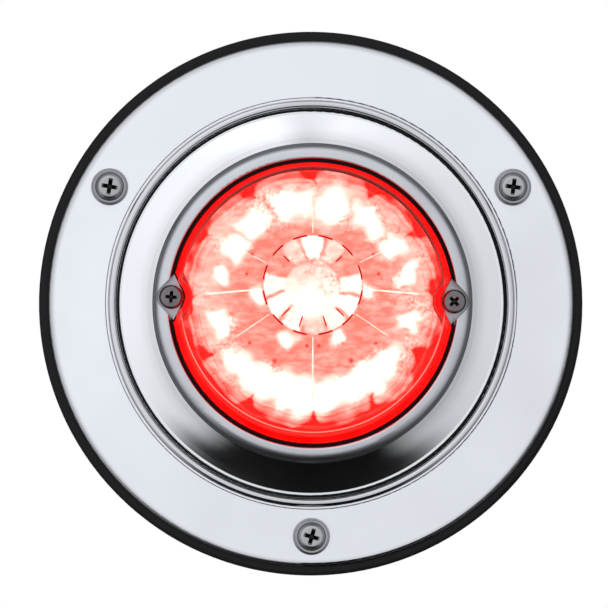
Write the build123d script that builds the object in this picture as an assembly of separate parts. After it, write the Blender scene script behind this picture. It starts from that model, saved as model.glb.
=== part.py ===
from build123d import *
from math import acos, atan2, cos, degrees, hypot, radians, sin, sqrt, tan
import os

# Round stainless tail light for a trailer's rear panel. Sizes are in millimetres.
# The lens faces -Y and +Z is up. The origin is the centre of the mounting plane, which
# is the rear face of the base gasket. "Forward" means the distance in front of that
# plane, so y = -forward, and what is behind the panel has a negative forward.

# Lens: the light is sized from it outwards
lens_radius = 40.6
lens_wall = 1.6
lens_brim_width = 2.4
lens_brim_thickness = 1.6
lens_side_height = 6.4
lens_edge_round = 3.0
lens_dome_rise = 2.0
lens_gasket_height = 1.4

# Bezel, with a pocket and a boss for each lens screw
bezel_seal_width = 0.9
bezel_width = 4.7
bezel_crest_height = 4.4
bezel_outer_round = 2.9
bezel_inner_round = 0.9
bezel_skirt = 0.9
bezel_skirt_gap = 0.15
pocket_floor_height = 1.8
pocket_margin = 0.5
boss_margin = 0.15
notch_half_height = 6.7

# Raised cone and the seat on top of it
cone_run = 9.4
cone_wall = 1.0
cone_foot_height = 2.0
cone_foot_round = 0.2
cone_lip_width = 0.7
cone_lip_round = 0.5
cone_top_round = 0.4
cone_waist_run_share = 0.436
cone_waist_rise_share = 0.396
cone_waist_round_share = 3.0
cone_inner_shift_share = 0.3
seat_height = 6.8
seat_lap = 1.2
seat_gasket_thickness = 0.8
ear_margin = 0.8
seal_width = 0.7
seal_height = 1.0

# Can behind the panel, with the rolled rim that sits on the flange's ledge
bead_radius = 1.3
rim_reach = 3.7
can_neck_step = 1.0
can_wall = 1.0
can_rear_wall = 1.2
can_depth = 22.0
can_corner_round = 4.0
can_throat_round = 0.8

# Flange and base gasket
flange_width = 16.7
flange_thickness = 1.5
flange_edge_round = 1.1
ledge_gap = 0.5
ledge_depth = 0.5
ledge_round = 0.4
gasket_thickness = 3.0
gasket_overhang = 2.7
gasket_edge_round = 1.3

# Inner optic and reflector
optic_gap = 0.7
optic_thickness = 2.5
optic_centre_lift = 5.2
collimator_radius = 14.6
collimator_rise = 1.4
collimator_edge_round = 0.3
petal_count = 12
petal_groove = 0.5
reflector_depth = 4.2
reflector_lift = 0.8

# LEDs, boards and heat sink
led_edge_distance = 10.8
led_centre_lift = 1.0
led_width = 3.4
led_height = 0.9
led_dome_radius = 1.3
centre_led_width = 5.0
centre_led_dome_radius = 1.9
cup_hole_radius = 2.6
cup_land = 0.3
centre_cup_hole_radius = 3.8
centre_cup_mouth_radius = 12.0
board_gap = 1.6
board_thickness = 1.6
board_insert_gap = 1.1
sink_edge_gap = 2.1
sink_thickness = 2.5
driver_board_width = 44.0
driver_board_depth = 32.0
driver_board_corner = 2.0
driver_gap = 5.7
standoff_radius = 2.0
standoff_inset = 4.0
link_width = 8.0
link_depth = 2.6
link_drop = 10.0
link_slot_gap = 0.5
component_lift = 8.0
capacitor_radius = 5.0
capacitor_length = 9.0
regulator_size = (10.0, 9.0, 4.5)
diode_size = (4.3, 2.6, 2.2)
diode_across = 3.0
diode_up = 2.5
resistor_size = (3.2, 1.6, 0.6)
resistor_across = 17.0
resistor_levels = (-1.5, -4.5)

# Mounting screws and their finishing washers
mount_edge_distance = 8.7
mount_screw_angles = {"top_left": 150, "top_right": 30, "bottom": 270}
mount_shank_radius = 2.08
mount_shoulder_step = 0.27
mount_shoulder_reach = 0.5
mount_screw_reach = 16.0
mount_head_width = 1.89
mount_head_dome = 1.3
mount_head_cone_angle = 100
mount_recess_share = 1.22
mount_recess_depth_share = 1.3
mount_screw_turns = {"top_left": 10, "top_right": 8, "bottom": 16}
washer_width = 1.39
washer_crest_width = 0.83
washer_height = 2.0
washer_edge = 0.35
washer_lip_round = 0.1

# Lens screws and their inserts
lens_screw_out = 0.2
lens_shank_radius = 1.72
lens_screw_length = 8.4
lens_head_width = 1.73
lens_head_height = 2.0
lens_recess_share = 1.15
lens_screw_lift = 1.1
lens_screw_tilt = 0.9
lens_screw_turns = {-1: 5, 1: 45}
insert_wall = 1.41
insert_length = 4.5

# Pan heads, as shares of the head's height or the shank's radius
pan_edge_share = 0.8
pan_round_share = 0.45
pan_recess_depth_share = 0.7
shank_point_share = 0.4
dome_edge_share = 0.8

# Small screws and the posts that carry the heat sink
post_inset = 6.5
post_radius = 3.0
post_angles = (90, 210, 330)
small_shank_radius = 1.45
small_screw_length = 8.0
small_head_radius = 2.9
small_head_height = 1.8
board_screw_inset = 3.5
board_screw_angles = (30, 150, 270)
board_head_height = 1.2

# Plug inlet, its pins and the leads to the driver board
inlet_width = 34.0
inlet_height = 18.0
inlet_corner = 6.0
inlet_length = 12.0
inlet_plate_width = 52.0
inlet_plate_height = 24.0
inlet_plate_thickness = 2.0
inlet_plate_corner = 5.0
inlet_seal_thickness = 0.8
inlet_wall = 3.0
inlet_inside_length = 5.0
inlet_neck_inset = 1.0
pin_radius = 1.2
pin_spacing = 9.0
pin_recess = 6.0
pin_inside_length = 4.0
pin_point_share = 0.6
rivet_radius = 1.6
rivet_head_radius = 3.0
rivet_head_height = 1.2
rivet_inset = 4.5
rivet_tail_share = 0.8
rivet_tail_round = 0.5
rivet_head_round = 0.8
lead_radius = 0.9
lead_bend = 2.2
lead_bend_share = 0.22
lead_drop = 11.0
vent_radius = 5.0
vent_height = 2.5
vent_stem_radius = 2.4
vent_inset = 18.0
vent_cap_round = 0.8
vent_stem_inside = 2.0

# Named clearances
running_clearance = 0.07
shank_clearance = 0.35
seated_clearance = 0.16
bore_clearance = 0.3
press_clearance = 0.05
brim_gap = 0.3
notch_gap = 0.4

# Radii, from the lens outwards
bezel_inner_radius = lens_radius + bezel_seal_width
bezel_radius = bezel_inner_radius + bezel_width
cone_foot_radius = bezel_radius + cone_run
bead_centre_radius = cone_foot_radius + 2 * press_clearance + seal_width + bead_radius
can_radius = bead_centre_radius - rim_reach
can_neck_radius = can_radius - can_neck_step
can_inside_radius = can_neck_radius - can_wall
ledge_radius = bead_centre_radius + bead_radius + ledge_gap
flange_radius = ledge_radius + flange_width
mount_circle_radius = flange_radius - mount_edge_distance
mount_shoulder_radius = mount_shank_radius + mount_shoulder_step
mount_head_radius = mount_shank_radius + mount_head_width
washer_radius = mount_head_radius + washer_width
lens_brim_radius = lens_radius + lens_brim_width
lens_screw_radius_out = lens_radius + lens_screw_out
lens_head_radius = lens_shank_radius + lens_head_width
boss_radius = lens_head_radius + boss_margin
pocket_radius = boss_radius + pocket_margin
ear_radius = boss_radius + ear_margin
insert_bore_radius = lens_shank_radius + running_clearance
insert_radius = insert_bore_radius + insert_wall
seat_inner_radius = lens_radius - seat_lap
lens_cavity_radius = lens_radius - lens_wall
optic_radius = lens_cavity_radius - optic_gap
led_circle_radius = optic_radius - led_edge_distance
cup_mouth_radius = led_circle_radius * sin(radians(180 / petal_count)) - cup_land
led_board_radius = lens_screw_radius_out - insert_radius - board_insert_gap
board_screw_circle_radius = led_board_radius - board_screw_inset
sink_radius = can_inside_radius - sink_edge_gap
post_circle_radius = sink_radius - post_inset
vent_drop = can_radius - vent_inset
rivet_offset = inlet_plate_width / 2 - rivet_inset

# Stations along the light's axis, as forward distances
flange_back = gasket_thickness
flange_front = flange_back + flange_thickness
ledge_front = flange_front - ledge_depth
brim_front = ledge_front + can_wall
cone_foot_front = brim_front + cone_foot_height
seat_front = brim_front + seat_height
bezel_back = seat_front + seat_gasket_thickness
brim_top = bezel_back + lens_brim_thickness
pocket_floor = bezel_back + pocket_floor_height
bezel_front = bezel_back + bezel_crest_height
lens_side_front = bezel_back + lens_side_height
can_inside_back = can_rear_wall - can_depth
reflector_front = bezel_back + reflector_lift
reflector_back = reflector_front - reflector_depth
led_board_front = reflector_back - board_gap
sink_front = led_board_front - board_thickness
sink_back = sink_front - sink_thickness
driver_front = sink_back - driver_gap
driver_back = driver_front - board_thickness
optic_front = reflector_front + optic_thickness
inlet_seal_back = -can_depth - inlet_seal_thickness
inlet_plate_back = inlet_seal_back - inlet_plate_thickness
inlet_mouth = inlet_plate_back - inlet_length


def turned(*corners):
    """Solid turned about the Y axis from (radius, forward, corner round) points."""
    points = [(radius, -forward) for radius, forward, _ in corners]
    outline = FilletPolyline(*points, radius=[corner[2] for corner in corners], close=True)
    return revolve(make_face(outline.edges()), Axis.Y)


def ring(inner, outer, back, front):
    """Plain ring or, with inner 0, a plain disc."""
    return turned((inner, back, 0), (outer, back, 0), (outer, front, 0), (inner, front, 0))


def prism(profile, back, front):
    """Front-view profile (x right, z up) extruded between two forward distances."""
    return extrude(Plane.XZ.offset(back) * profile, front - back)


def at(shape, across, up):
    """Shape moved sideways and up, parallel to the mounting plane."""
    return Pos(across, 0, up) * shape


def around(shape, circle_radius, angles, lift=0.0):
    """Copies of a shape at the given angles of a circle, seen from the front."""
    return [
        at(shape, circle_radius * cos(radians(angle)), lift + circle_radius * sin(radians(angle)))
        for angle in angles
    ]


def even_angles(count, first):
    return [first + 360 / count * step for step in range(count)]


def tangent_point(tip, centre, radius, turn):
    """Where a line from the tip touches the circle, on the side that turn gives."""
    across = tip[0] - centre[0]
    up = tip[1] - centre[1]
    angle = atan2(up, across) + turn * acos(radius / hypot(across, up))
    return (centre[0] + radius * cos(angle), centre[1] + radius * sin(angle))


def by_lens_screws(across, up):
    """Point among level lens screws, moved to where the lifted, tilted pair stands."""
    turn = radians(lens_screw_tilt)
    raised = up + lens_screw_lift
    return (across * cos(turn) + raised * sin(turn), raised * cos(turn) - across * sin(turn))


def at_lens_screw(side, shape):
    """Shape moved to the left (-1) or right (1) lens screw."""
    return at(shape, *by_lens_screws(side * lens_screw_radius_out, 0))


def spindle(side, radius):
    """Outline round a lens screw: a circle drawn out to two tips on the lens edge."""
    centre = by_lens_screws(side * lens_screw_radius_out, 0)
    tip_across = side * sqrt(lens_radius**2 - notch_half_height**2)
    top = by_lens_screws(tip_across, notch_half_height)
    bottom = by_lens_screws(tip_across, -notch_half_height)
    corners = [
        top,
        tangent_point(top, centre, radius, 1),
        tangent_point(bottom, centre, radius, -1),
        bottom,
        tangent_point(bottom, centre, radius, 1),
        tangent_point(top, centre, radius, -1),
    ]
    return Polygon(*corners, align=None) + Pos(*centre) * Circle(radius)


def boss_zone(side, growth):
    """Front-view area that a screw boss of the bezel fills, grown for what clears it."""
    reach = bezel_radius - lens_screw_radius_out
    middle = by_lens_screws(side * (lens_screw_radius_out + reach / 2), 0)
    behind = Rot(0, 0, -lens_screw_tilt) * Rectangle(reach, 2 * notch_half_height)
    zone = spindle(side, boss_radius) + Pos(*middle) * behind
    return offset(zone, growth) if growth else zone


def clear_of_bosses(shape, growth):
    """Shape with room cut for both bosses, all along its depth."""
    back = seat_front - seat_height
    front = lens_side_front + seat_height
    for side in (-1, 1):
        shape = shape - prism(boss_zone(side, growth), back, front)
    return shape


def cross_recess(width, depth):
    """Cross-head driver recess opening at forward 0, tapered towards its point."""
    blade = width / 4
    cross = Rectangle(width, blade) + Rectangle(blade, width)
    taper = turned(
        (0, -depth, 0),
        (blade / 2, -depth, 0),
        (width / 2, 0, 0),
        (width / 2, depth, 0),
        (0, depth, 0),
    )
    return prism(cross, -depth, depth) & taper


def pan_screw(head_radius, head_height, shank_radius, length, recess_width):
    """Pan-head screw with its head's underside at forward 0."""
    head = turned(
        (0, 0, 0),
        (head_radius, 0, 0),
        (head_radius, head_height * pan_edge_share, head_height * pan_round_share),
        (0, head_height, 0),
    )
    shank = turned(
        (0, -length, 0),
        (shank_radius, -length, shank_radius * shank_point_share),
        (shank_radius, 0, 0),
        (0, 0, 0),
    )
    recess = cross_recess(recess_width, head_height * pan_recess_depth_share)
    return head + shank - Pos(0, -head_height, 0) * recess


def cone_drop(radial):
    """Depth over which the oval head's cone narrows by this much radius."""
    return radial / tan(radians(mount_head_cone_angle / 2))


def mount_screw():
    """Oval-head screw: threaded shank, plain shoulder through the flange, coned head."""
    seat = flange_front + washer_height
    neck = seat - cone_drop(mount_head_radius - mount_shoulder_radius)
    body = turned(
        (0, -mount_screw_reach, 0),
        (mount_shank_radius, -mount_screw_reach, mount_shank_radius * shank_point_share),
        (mount_shank_radius, -mount_shoulder_reach, 0),
        (mount_shoulder_radius, -mount_shoulder_reach, 0),
        (mount_shoulder_radius, neck, 0),
        (mount_head_radius, seat, 0),
        (mount_head_radius * dome_edge_share, seat + mount_head_dome, mount_head_dome),
        (0, seat + mount_head_dome, 0),
    )
    width = mount_head_radius * mount_recess_share
    recess = cross_recess(width, mount_head_dome * mount_recess_depth_share)
    return body - Pos(0, -seat - mount_head_dome, 0) * recess


def finishing_washer():
    hole = mount_shoulder_radius + running_clearance
    seat = flange_front + washer_height
    slope_end = mount_head_radius + seated_clearance
    slope_start = seat - cone_drop(slope_end - hole)
    return turned(
        (hole, flange_front, 0),
        (washer_radius, flange_front, 0),
        (washer_radius, flange_front + washer_edge, washer_lip_round),
        (mount_head_radius + washer_crest_width, seat, washer_edge),
        (slope_end, seat - washer_lip_round, washer_lip_round),
        (hole, slope_start - washer_lip_round, 0),
    )


def base_gasket():
    """Rubber ring between the flange and the panel."""
    outer = flange_radius + gasket_overhang
    body = turned(
        (can_radius + bore_clearance, 0, 0),
        (outer, 0, gasket_edge_round / 4),
        (outer, gasket_thickness, gasket_edge_round),
        (can_radius + bore_clearance, gasket_thickness, 0),
    )
    hole = ring(0, mount_shoulder_radius + shank_clearance, -1, flange_back + 1)
    return body - around(hole, mount_circle_radius, mount_screw_angles.values())


def flange():
    """Flat stainless ring with a rounded rim and a ledge for the can's rolled rim."""
    body = turned(
        (can_radius + bore_clearance, flange_back, 0),
        (flange_radius, flange_back, 0),
        (flange_radius, flange_front, flange_edge_round),
        (ledge_radius, flange_front, ledge_round),
        (ledge_radius, ledge_front, 0),
        (can_radius + bore_clearance, ledge_front, 0),
    )
    hole = ring(0, mount_shoulder_radius + shank_clearance, flange_back - 1, flange_front + 1)
    return body - around(hole, mount_circle_radius, mount_screw_angles.values())


def housing_can():
    """Drawn can that passes through the panel, closed behind, with a rolled front rim."""
    shell = turned(
        (bead_centre_radius, ledge_front, 0),
        (bead_centre_radius, brim_front, 0),
        (can_inside_radius, brim_front, can_throat_round),
        (can_inside_radius, can_inside_back, can_corner_round - can_wall),
        (0, can_inside_back, 0),
        (0, -can_depth, 0),
        (can_radius, -can_depth, can_corner_round),
        (can_radius, 0, 0),
        (can_neck_radius, 0, 0),
        (can_neck_radius, ledge_front, 0),
    )
    bead_section = Pos(bead_centre_radius, -ledge_front - bead_radius) * Circle(bead_radius)
    shell = shell + revolve(bead_section, Axis.Y)
    rear = (-can_depth - 1, can_inside_back + 1)
    inlet_hole = prism(inlet_neck(0), *rear)
    rivet_hole = ring(0, rivet_radius + press_clearance, *rear)
    screw_hole = ring(0, small_shank_radius + press_clearance, *rear)
    vent_hole = ring(0, vent_stem_radius + press_clearance, *rear)
    shell = shell - inlet_hole - at(vent_hole, 0, -vent_drop)
    shell = shell - around(rivet_hole, rivet_offset, (0, 180))
    return shell - around(screw_hole, post_circle_radius, post_angles)


def seam_seal():
    """Black sealing ring between the rolled rim and the cone's foot."""
    inner = cone_foot_radius + press_clearance
    return ring(inner, inner + seal_width, brim_front, brim_front + seal_height)


def seat_outline_area():
    """Front view of the seat: its ring and the two ears that carry the lens screws."""
    area = Circle(bezel_radius) - Circle(seat_inner_radius)
    for side in (-1, 1):
        ear = Pos(*by_lens_screws(side * lens_screw_radius_out, 0)) * Circle(ear_radius)
        area = area + (ear & Circle(bezel_radius - bezel_skirt))
    return area


def lens_screw_holes(radius, back, front):
    return [at_lens_screw(side, ring(0, radius, back, front)) for side in (-1, 1)]


def housing_cone():
    """Polished pressing that rises from the rolled rim to the bezel's seat."""
    waist_radius = bezel_radius + cone_run * cone_waist_run_share
    waist_front = cone_foot_front + (seat_front - cone_foot_front) * cone_waist_rise_share
    waist_round = cone_run * cone_waist_round_share
    inner_shift = cone_wall * cone_inner_shift_share
    shell = turned(
        (cone_foot_radius, brim_front, 0),
        (cone_foot_radius, cone_foot_front, cone_foot_round),
        (cone_foot_radius - cone_lip_width, cone_foot_front, cone_lip_round),
        (waist_radius, waist_front, waist_round),
        (bezel_radius, seat_front, cone_top_round),
        (seat_inner_radius, seat_front, 0),
        (seat_inner_radius, seat_front - cone_wall, 0),
        (bezel_radius - inner_shift, seat_front - cone_wall, 0),
        (waist_radius - inner_shift, waist_front - cone_wall, waist_round),
        (cone_foot_radius - cone_wall, cone_foot_front - cone_wall, 0),
        (cone_foot_radius - cone_wall, brim_front, 0),
    )
    for side in (-1, 1):
        ear = ring(0, ear_radius, seat_front - cone_wall, seat_front)
        shell = shell + at_lens_screw(side, ear)
    hole = lens_shank_radius + shank_clearance
    return shell - lens_screw_holes(hole, seat_front - 2 * cone_wall, seat_front + 1)


def seat_gasket():
    """Thin rubber ring on the seat, under the bezel and the lens."""
    area = seat_outline_area() & Circle(bezel_radius - bezel_skirt - press_clearance)
    hole = lens_shank_radius + shank_clearance
    return prism(area, seat_front, bezel_back) - lens_screw_holes(hole, seat_front - 1, bezel_back + 1)


def screw_inserts():
    """Threaded brass inserts fixed under the seat's ears."""
    front = seat_front - cone_wall
    insert = ring(insert_bore_radius, insert_radius, front - insert_length, front)
    return [at_lens_screw(side, insert) for side in (-1, 1)]


def lens_bezel():
    """Cast ring with a rounded crest, and a pocket and boss for each lens screw."""
    rebate = lens_brim_radius + brim_gap
    skirt = bezel_radius - bezel_skirt
    body = turned(
        (rebate, bezel_back, 0),
        (skirt, bezel_back, 0),
        (skirt, seat_front + bezel_skirt_gap, 0),
        (bezel_radius, seat_front + bezel_skirt_gap, 0),
        (bezel_radius, bezel_front, bezel_outer_round),
        (bezel_inner_radius, bezel_front, bezel_inner_round),
        (bezel_inner_radius, brim_top, 0),
        (rebate, brim_top, 0),
    )
    inside_bezel = Circle(bezel_radius - bezel_skirt)
    for side in (-1, 1):
        body = body + prism(boss_zone(side, 0) & inside_bezel, bezel_back, pocket_floor)
        body = body - prism(spindle(side, pocket_radius), pocket_floor, bezel_front + 1)
    hole = lens_shank_radius + shank_clearance
    return body - lens_screw_holes(hole, bezel_back - 1, bezel_front)


def lens_gasket():
    """Black ring between the lens and the bezel, open at the two bosses."""
    body = ring(
        lens_radius + press_clearance,
        bezel_inner_radius - press_clearance,
        brim_top,
        brim_top + lens_gasket_height,
    )
    return clear_of_bosses(body, press_clearance)


def dome_cap(radius, edge, back, front, edge_round):
    """Disc with a rounded edge and a shallow domed face."""
    wall = turned((0, back, 0), (radius, back, 0), (radius, front, edge_round), (0, front, 0))
    ball_radius = (edge**2 + lens_dome_rise**2) / (2 * lens_dome_rise)
    ball = Pos(0, ball_radius - front - lens_dome_rise, 0) * Sphere(ball_radius)
    return wall + (ball & ring(0, edge, back, front + 2 * lens_dome_rise))


def lens():
    """Red cover lens: brim, upright side, rounded edge and shallow dome, hollow behind."""
    edge = lens_radius - lens_edge_round
    outside = dome_cap(lens_radius, edge, bezel_back, lens_side_front, lens_edge_round)
    brim = ring(0, lens_brim_radius, bezel_back, brim_top)
    inside = dome_cap(
        lens_cavity_radius,
        edge,
        bezel_back - 1,
        lens_side_front - lens_wall,
        lens_edge_round - lens_wall,
    )
    shell = clear_of_bosses(outside + brim, notch_gap)
    return shell - clear_of_bosses(inside, notch_gap + lens_wall)


def behind_lens(shape):
    """Shape cut to stay clear of the lens wall where it passes round the bosses."""
    return clear_of_bosses(shape, notch_gap + lens_wall + optic_gap)


def petal_optic():
    """Clear inner optic with petals that fan out from a centre above the lens's own."""
    body = behind_lens(ring(0, optic_radius, reflector_front, optic_front))
    body = body - at(ring(0, collimator_radius + press_clearance, 0, optic_front + 1), 0, optic_centre_lift)
    for angle in even_angles(petal_count, 0):
        across = optic_radius * cos(radians(angle))
        up = optic_radius * sin(radians(angle)) - optic_centre_lift
        reach = hypot(across, up)
        groove = Pos(reach / 2, 0) * Rectangle(reach, petal_groove)
        groove = Pos(0, optic_centre_lift) * Rot(0, 0, degrees(atan2(up, across))) * groove
        body = body - prism(groove, optic_front - petal_groove, optic_front + 1)
    return body


def collimator():
    """Round centre optic with a low domed face."""
    body = turned(
        (0, reflector_front, 0),
        (collimator_radius, reflector_front, 0),
        (collimator_radius, optic_front, collimator_edge_round),
        (0, optic_front + collimator_rise, 0),
    )
    return at(body, 0, optic_centre_lift)


def led_spots(shape):
    return around(shape, led_circle_radius, even_angles(petal_count, 15), led_centre_lift)


def led_cup(hole_radius, mouth_radius):
    """Space of one reflector cup, with the hole that its LED comes through."""
    return turned(
        (0, reflector_back - 1, 0),
        (hole_radius, reflector_back - 1, 0),
        (hole_radius, reflector_back, 0),
        (mouth_radius, reflector_front, 0),
        (0, reflector_front, 0),
    )


def reflector():
    """Metallised tray with a cup for each LED."""
    body = behind_lens(ring(0, optic_radius, reflector_back, reflector_front))
    centre_cup = led_cup(centre_cup_hole_radius, centre_cup_mouth_radius)
    body = body - led_spots(led_cup(cup_hole_radius, cup_mouth_radius))
    return body - at(centre_cup, 0, led_centre_lift)


def led_package(width, dome_radius):
    base = prism(Rectangle(width, width), led_board_front, led_board_front + led_height)
    dome = Pos(0, -led_board_front - led_height, 0) * Sphere(dome_radius)
    return base + (dome & ring(0, dome_radius, led_board_front, led_board_front + 2 * dome_radius))


def led_board():
    body = ring(0, led_board_radius, sink_front, led_board_front)
    hole = ring(0, small_shank_radius + press_clearance, sink_front - 1, led_board_front + 1)
    return body - around(hole, board_screw_circle_radius, board_screw_angles)


def heat_sink():
    """Aluminium plate on the three posts, with a slot for the board link."""
    body = ring(0, sink_radius, sink_back, sink_front)
    hole = ring(0, small_shank_radius + press_clearance, sink_back - 1, sink_front + 1)
    slot_area = Rectangle(link_width + 2 * link_slot_gap, link_depth + 2 * link_slot_gap)
    slot = prism(slot_area, sink_back, sink_front)
    body = body - around(hole, post_circle_radius, post_angles)
    body = body - around(hole, board_screw_circle_radius, board_screw_angles)
    return body - at(slot, 0, -link_drop)


def support_posts():
    post = ring(0, post_radius, can_inside_back, sink_back)
    bore = small_shank_radius + press_clearance
    drilling = small_screw_length + 1
    post = post - ring(0, bore, can_inside_back, can_inside_back + drilling)
    post = post - ring(0, bore, sink_back - drilling, sink_back)
    return around(post, post_circle_radius, post_angles)


def small_screw(length, head_height):
    return pan_screw(small_head_radius, head_height, small_shank_radius, length, small_head_radius)


def sink_screws():
    screw = Pos(0, -sink_front, 0) * small_screw(small_screw_length, small_head_height)
    return around(screw, post_circle_radius, post_angles)


def board_screws():
    length = board_thickness + sink_thickness
    screw = Pos(0, -led_board_front, 0) * small_screw(length, board_head_height)
    return around(screw, board_screw_circle_radius, board_screw_angles)


def rear_screws():
    """Screws from behind through the can into the posts."""
    screw = Rot(180, 0, 0) * small_screw(small_screw_length, small_head_height)
    return around(Pos(0, can_depth, 0) * screw, post_circle_radius, post_angles)


def driver_corners():
    across = driver_board_width / 2 - standoff_inset
    up = driver_board_depth / 2 - standoff_inset
    return [(side * across, level * up) for side in (-1, 1) for level in (-1, 1)]


def driver_board():
    area = RectangleRounded(driver_board_width, driver_board_depth, driver_board_corner)
    return prism(area, driver_back, driver_front)


def driver_standoffs():
    post = ring(0, standoff_radius, driver_front, sink_back)
    return [at(post, across, up) for across, up in driver_corners()]


def board_link():
    """Pin header between the two boards, through the heat sink's slot."""
    return at(prism(Rectangle(link_width, link_depth), driver_front, sink_front), 0, -link_drop)


def board_component(size):
    """Rectangular component on the driver board's rear face, from (width, depth, height)."""
    width, depth, height = size
    return prism(Rectangle(width, depth), driver_back - height, driver_back)


def capacitor():
    can = turned(
        (0, driver_back, 0),
        (capacitor_radius, driver_back, 0),
        (capacitor_radius, driver_back - capacitor_length, capacitor_radius / 8),
        (0, driver_back - capacitor_length, 0),
    )
    return at(can, -driver_board_width / 4, component_lift)


def regulator():
    return at(board_component(regulator_size), driver_board_width / 4, component_lift)


def diodes():
    return [at(board_component(diode_size), side * diode_across, diode_up) for side in (-1, 1)]


def resistors():
    body = board_component(resistor_size)
    return [at(body, side * resistor_across, up) for side in (-1, 1) for up in resistor_levels]


def inlet_plate_area():
    return RectangleRounded(inlet_plate_width, inlet_plate_height, inlet_plate_corner)


def inlet_neck(clearance):
    """Outline of the inlet's neck where it passes through the can, less a clearance."""
    inset = 2 * (inlet_neck_inset + clearance)
    return RectangleRounded(inlet_width - inset, inlet_height - inset, inlet_corner - inlet_neck_inset)


def plug_inlet():
    """Moulded socket behind the can, with a recess round the three contact pins."""
    inside_end = can_inside_back + inlet_inside_length
    shroud = RectangleRounded(inlet_width, inlet_height, inlet_corner)
    recess_size = (inlet_width - 2 * inlet_wall, inlet_height - 2 * inlet_wall)
    recess = RectangleRounded(*recess_size, inlet_corner - inlet_wall)
    body = prism(inlet_plate_area(), inlet_plate_back, inlet_seal_back)
    body = body + prism(shroud, inlet_mouth, inlet_plate_back)
    body = body + prism(inlet_neck(press_clearance), inlet_seal_back, inside_end)
    body = body - prism(recess, inlet_mouth, inlet_plate_back)
    pin_hole = ring(0, pin_radius + press_clearance, inlet_mouth, inside_end + 1)
    rivet_hole = ring(0, rivet_radius + press_clearance, inlet_plate_back, inlet_seal_back)
    body = body - [at(pin_hole, step * pin_spacing, 0) for step in (-1, 0, 1)]
    return body - around(rivet_hole, rivet_offset, (0, 180))


def inlet_seal():
    """Rubber ring under the inlet's plate."""
    area = inlet_plate_area() - inlet_neck(0)
    hole = ring(0, rivet_radius + press_clearance, inlet_seal_back, -can_depth)
    return prism(area, inlet_seal_back, -can_depth) - around(hole, rivet_offset, (0, 180))


def inlet_rivets():
    rivet = turned(
        (0, can_inside_back, 0),
        (rivet_head_radius * rivet_tail_share, can_inside_back, 0),
        (rivet_head_radius * rivet_tail_share, can_inside_back + rivet_head_height, rivet_tail_round),
        (0, can_inside_back + rivet_head_height, 0),
    )
    rivet = rivet + ring(0, rivet_radius, inlet_plate_back, can_inside_back)
    rivet = rivet + turned(
        (0, inlet_plate_back - rivet_head_height, 0),
        (rivet_head_radius, inlet_plate_back - rivet_head_height, rivet_head_round),
        (rivet_head_radius, inlet_plate_back, 0),
        (0, inlet_plate_back, 0),
    )
    return around(rivet, rivet_offset, (0, 180))


def pin_end():
    """Forward distance of the pins' inner ends, where the leads start."""
    return can_inside_back + inlet_inside_length + pin_inside_length


def contact_pin(step):
    tip = inlet_mouth + pin_recess
    pin = turned(
        (0, tip, 0),
        (pin_radius, tip, pin_radius * pin_point_share),
        (pin_radius, pin_end(), 0),
        (0, pin_end(), 0),
    )
    return at(pin, step * pin_spacing, 0)


def lead(step):
    """Insulated wire from a pin's inner end down and forward to the driver board."""
    middle = (pin_end() + driver_back) / 2
    across = step * pin_spacing
    path = FilletPolyline(
        (across, -pin_end(), 0),
        (across, -middle, 0),
        (across, -middle, -lead_drop),
        (across, -driver_back, -lead_drop),
        radius=min(lead_bend, (driver_back - pin_end()) * lead_bend_share),
    )
    section = Plane(origin=path @ 0, z_dir=path % 0) * Circle(lead_radius)
    return sweep(section, path=path)


def breather_vent():
    cap = turned(
        (0, -can_depth - vent_height, 0),
        (vent_radius, -can_depth - vent_height, vent_cap_round),
        (vent_radius, -can_depth, 0),
        (0, -can_depth, 0),
    )
    stem = ring(0, vent_stem_radius, -can_depth, can_inside_back + vent_stem_inside)
    return at(cap + stem, 0, -vent_drop)


def mount_screw_at(place):
    """Mounting screw, tightened until its recess has this turn clockwise."""
    screw = Rot(0, mount_screw_turns[place], 0) * mount_screw()
    return around(screw, mount_circle_radius, (mount_screw_angles[place],))[0]


def lens_screw(side):
    recess_width = lens_head_radius * lens_recess_share
    screw = pan_screw(
        lens_head_radius,
        lens_head_height,
        lens_shank_radius,
        lens_screw_length,
        recess_width,
    )
    return at_lens_screw(side, Pos(0, -pocket_floor, 0) * Rot(0, lens_screw_turns[side], 0) * screw)


def as_shape(made):
    """One shape from a solid or from a list of separate solids."""
    if isinstance(made, (list, ShapeList)):
        return Compound(children=[solid for piece in made for solid in piece.solids()])
    return made


parts = {
    "base_gasket": base_gasket(),
    "flange": flange(),
    "housing_can": housing_can(),
    "seam_seal": seam_seal(),
    "housing_cone": housing_cone(),
    "seat_gasket": seat_gasket(),
    "screw_inserts": screw_inserts(),
    "finishing_washers": around(finishing_washer(), mount_circle_radius, mount_screw_angles.values()),
    "lens_bezel": lens_bezel(),
    "lens_gasket": lens_gasket(),
    "lens": lens(),
    "petal_optic": petal_optic(),
    "collimator": collimator(),
    "reflector": reflector(),
    "ring_leds": led_spots(led_package(led_width, led_dome_radius)),
    "centre_led": at(led_package(centre_led_width, centre_led_dome_radius), 0, led_centre_lift),
    "led_board": led_board(),
    "board_screws": board_screws(),
    "heat_sink": heat_sink(),
    "sink_screws": sink_screws(),
    "support_posts": support_posts(),
    "rear_screws": rear_screws(),
    "driver_board": driver_board(),
    "driver_standoffs": driver_standoffs(),
    "board_link": board_link(),
    "capacitor": capacitor(),
    "regulator": regulator(),
    "diodes": diodes(),
    "resistors": resistors(),
    "plug_inlet": plug_inlet(),
    "inlet_seal": inlet_seal(),
    "inlet_rivets": inlet_rivets(),
    "breather_vent": breather_vent(),
    "lens_screw_left": lens_screw(-1),
    "lens_screw_right": lens_screw(1),
}
for step, circuit in ((-1, "tail"), (0, "ground"), (1, "stop")):
    parts["pin_" + circuit] = contact_pin(step)
    parts["lead_" + circuit] = lead(step)
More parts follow.
